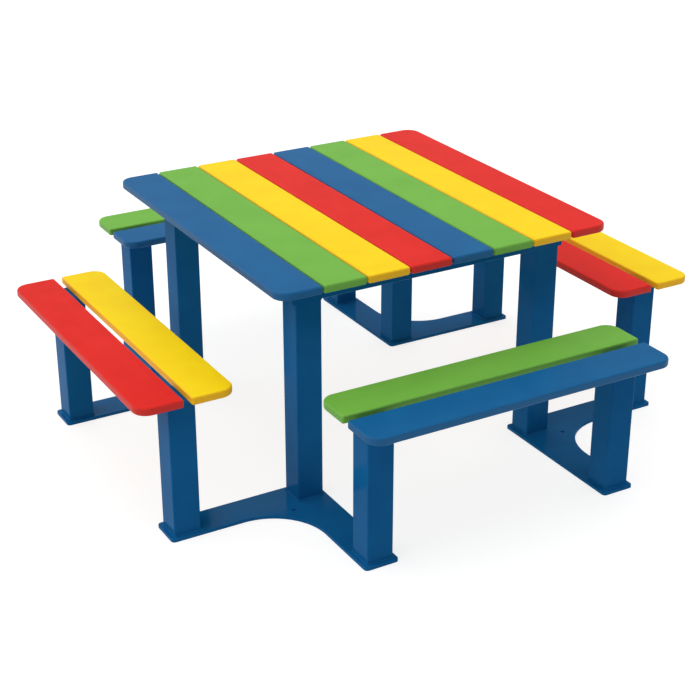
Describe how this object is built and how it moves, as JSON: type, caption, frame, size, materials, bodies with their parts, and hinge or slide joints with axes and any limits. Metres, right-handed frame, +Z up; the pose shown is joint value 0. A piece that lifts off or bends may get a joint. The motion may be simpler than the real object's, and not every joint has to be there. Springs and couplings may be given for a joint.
{
  "type": "garden table and bench set",
  "caption": "Square plank garden table with a plank bench on each side, carried by square steel legs on L-shaped ground plates with anchor holes.",
  "frame": {"origin": "middle of the set, on the ground under the centre of the table", "axes": "+Z up; the table planks run along Y; X and Y point at the right and back benches"},
  "size_m": [1.979, 1.979, 0.753],
  "materials": {
    "plank_blue": "satin, fine moulded grain",
    "plank_green": "satin, fine moulded grain",
    "plank_yellow": "satin, fine moulded grain",
    "plank_red": "satin, fine moulded grain",
    "frame_blue": "semi-gloss powder coat",
    "zinc_steel": "bright zinc plate",
    "brass": "plain turned"
  },
  "bodies": {
    "root": {"back_bench_bearer_left": "frame_blue", "back_bench_bearer_right": "frame_blue", "back_bench_leg_left": "frame_blue", "back_bench_leg_right": "frame_blue", "back_bench_plank_inner": "plank_blue", "back_bench_plank_outer": "plank_green", "base_plate_back_left": "frame_blue", "base_plate_back_right": "frame_blue", "base_plate_front_left": "frame_blue", "base_plate_front_right": "frame_blue", "bearer_welds": "frame_blue", "bench_bolts": "zinc_steel", "bench_inserts": "brass", "bench_washers": "zinc_steel", "carrier_welds": "frame_blue", "cross_tube_back": "frame_blue", "cross_tube_cap_back_left": "frame_blue", "cross_tube_cap_back_right": "frame_blue", "cross_tube_cap_front_left": "frame_blue", "cross_tube_cap_front_right": "frame_blue", "cross_tube_front": "frame_blue", "cross_tube_leg_welds": "frame_blue", "foot_welds": "frame_blue", "front_bench_bearer_left": "frame_blue", "front_bench_bearer_right": "frame_blue", "front_bench_leg_left": "frame_blue", "front_bench_leg_right": "frame_blue", "front_bench_plank_inner": "plank_green", "front_bench_plank_outer": "plank_blue", "left_bench_bearer_back": "frame_blue", "left_bench_bearer_front": "frame_blue", "left_bench_leg_back": "frame_blue", "left_bench_leg_front": "frame_blue", "left_bench_plank_inner": "plank_yellow", "left_bench_plank_outer": "plank_red", "plank_carrier_back": "frame_blue", "plank_carrier_front": "frame_blue", "right_bench_bearer_back": "frame_blue", "right_bench_bearer_front": "frame_blue", "right_bench_leg_back": "frame_blue", "right_bench_leg_front": "frame_blue", "right_bench_plank_inner": "plank_red", "right_bench_plank_outer": "plank_yellow", "table_bolts": "zinc_steel", "table_inserts": "brass", "table_leg_back_left": "frame_blue", "table_leg_back_right": "frame_blue", "table_leg_front_left": "frame_blue", "table_leg_front_right": "frame_blue", "table_plank_1": "plank_blue", "table_plank_2": "plank_green", "table_plank_3": "plank_yellow", "table_plank_4": "plank_red", "table_plank_5": "plank_blue", "table_plank_6": "plank_green", "table_plank_7": "plank_yellow", "table_plank_8": "plank_red", "table_washers": "zinc_steel"}
  },
  "joints": []
}
